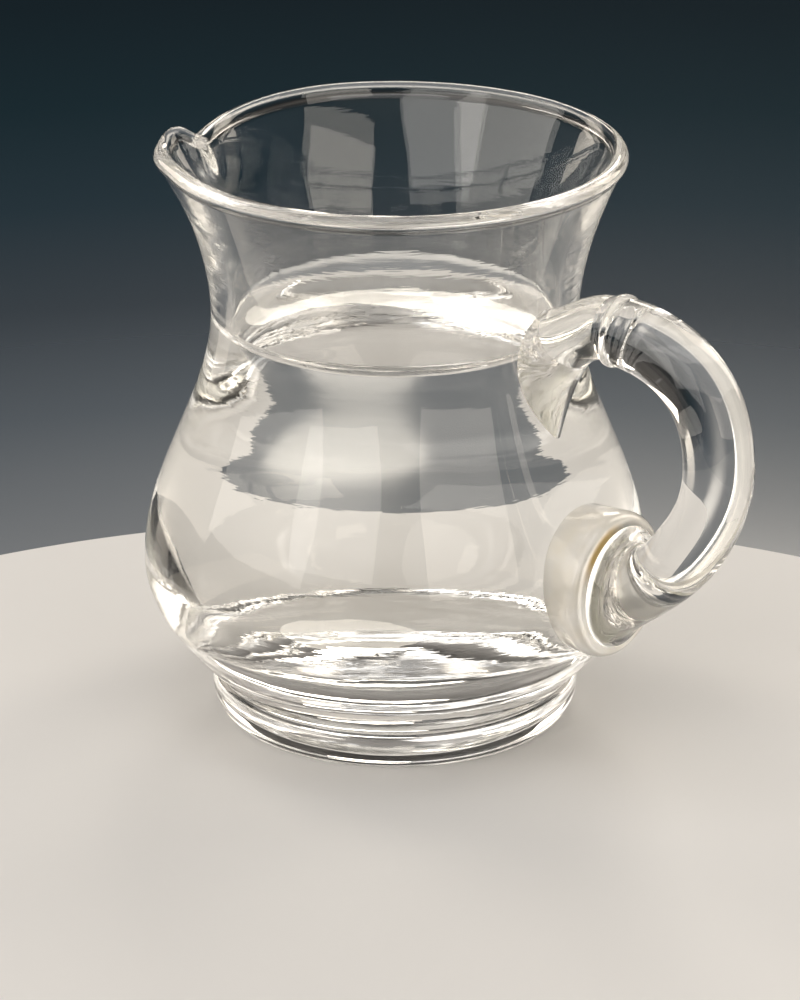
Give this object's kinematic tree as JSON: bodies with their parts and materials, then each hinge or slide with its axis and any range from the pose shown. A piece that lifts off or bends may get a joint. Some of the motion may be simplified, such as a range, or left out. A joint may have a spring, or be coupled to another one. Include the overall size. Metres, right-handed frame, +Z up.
{
  "type": "altar cruet",
  "caption": "Small pear-shaped clear glass jug with a flared bead rim, a pulled pouring lip, a solid round foot and a looped cane handle, for pouring wine or water by hand.",
  "frame": {"origin": "centre of the flat face of the foot that the cruet stands on, on the bowl's axis", "axes": "+Z up along the bowl's axis, +X from the axis to the handle; the lip points to about 140 degrees from the handle, on the -Y side"},
  "size_m": [0.1038, 0.0772, 0.0911],
  "materials": {
    "clear_glass": "clear, fire-polished, hand-blown",
    "milky_glass": "clear to slightly milky cream, fire-polished"
  },
  "bodies": {
    "root": {"bowl": "clear_glass", "foot": "clear_glass", "upper_handle_seal": "clear_glass", "handle_rod": "clear_glass", "lower_handle_pad": "milky_glass"}
  },
  "joints": []
}
